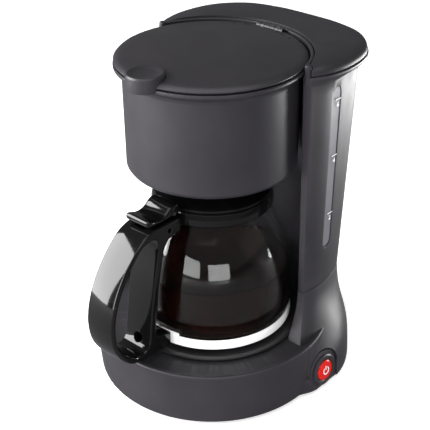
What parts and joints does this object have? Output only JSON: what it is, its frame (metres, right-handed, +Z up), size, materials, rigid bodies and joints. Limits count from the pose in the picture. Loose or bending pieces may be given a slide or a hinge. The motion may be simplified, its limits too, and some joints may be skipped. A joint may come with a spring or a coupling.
{
  "type": "drip coffee maker",
  "caption": "Drip coffee maker with a round brew head, hinged lid, rear water column with level window, warming plate, push switch and glass carafe with a D-shaped handle.",
  "frame": {"origin": "middle of the footprint, on the surface the coffee maker stands on", "axes": "+Z up, -Y towards the user at the carafe handle, +X towards the side with the switch and the level window"},
  "size_m": [0.201, 0.244, 0.2742],
  "materials": {
    "housing": "satin dark grey",
    "dark_plastic": "satin black",
    "gloss_plastic": "polished black",
    "coated_plate": "non-stick black coating",
    "steel": "bright",
    "zinc": "zinc plated",
    "aluminium": "cast",
    "rubber": "matt black",
    "silicone": "milky",
    "clear_plastic": "frosted translucent",
    "glass": "clear",
    "red_plastic": "polished red",
    "filter_mesh": "woven mesh"
  },
  "bodies": {
    "base": {"lower_housing": "housing", "bottom_plate": "dark_plastic", "foot_1": "rubber", "foot_2": "rubber", "foot_3": "rubber", "foot_4": "rubber", "base_screw_1": "zinc", "base_screw_2": "zinc", "base_screw_3": "zinc", "base_screw_4": "zinc", "warming_plate": "coated_plate", "heater_tube": "aluminium", "heater_clamp": "zinc", "thermostat": "aluminium", "thermal_fuse": "silicone", "check_valve": "silicone", "cold_hose": "silicone", "riser_tube": "silicone", "cord_gland": "rubber", "tank_housing": "housing", "water_tank": "clear_plastic", "level_window": "clear_plastic", "rear_cover": "housing", "brew_head": "housing", "brew_funnel": "dark_plastic", "filter_basket": "dark_plastic", "mesh_filter": "filter_mesh", "drip_nozzle": "dark_plastic", "steam_shower": "dark_plastic", "hinge_ear_right": "housing", "hinge_ear_left": "housing", "switch_bezel": "housing", "switch_body": "dark_plastic"},
    "lid": {"front_lid": "housing", "thumb_tab": "housing", "lid_hinge_pin": "dark_plastic"},
    "valve": {"drip_valve": "silicone"},
    "button": {"power_button": "red_plastic"},
    "carafe": {"carafe_glass": "glass", "carafe_collar": "gloss_plastic", "carafe_lid": "gloss_plastic", "lid_lever": "gloss_plastic", "lever_pin": "dark_plastic", "handle": "gloss_plastic", "steel_band": "steel", "band_clip": "steel", "handle_screw": "zinc"}
  },
  "joints": [
    {"name": "lid_hinge", "type": "hinge", "parent": "base", "child": "lid", "pos_m": [0, 0.0707, 0.2696], "axis": [-1, 0, 0], "range_deg": [0, 95]},
    {"name": "carafe_slide", "type": "slide", "parent": "base", "child": "carafe", "axis": [0, -0.9976, 0.0698], "range_m": [0, 0.17]},
    {"name": "drip_valve_slide", "type": "slide", "parent": "base", "child": "valve", "axis": [0, 0, -1], "range_m": [0, 0.0032]},
    {"name": "power_button_press", "type": "slide", "parent": "base", "child": "button", "axis": [-0.9945, 0, -0.1045], "range_m": [0, 0.0025], "stiffness_N_per_m": 300}
  ],
  "couplings": [
    {"joint": "drip_valve_slide", "follows": "carafe_slide", "ratio": 0.0176}
  ]
}
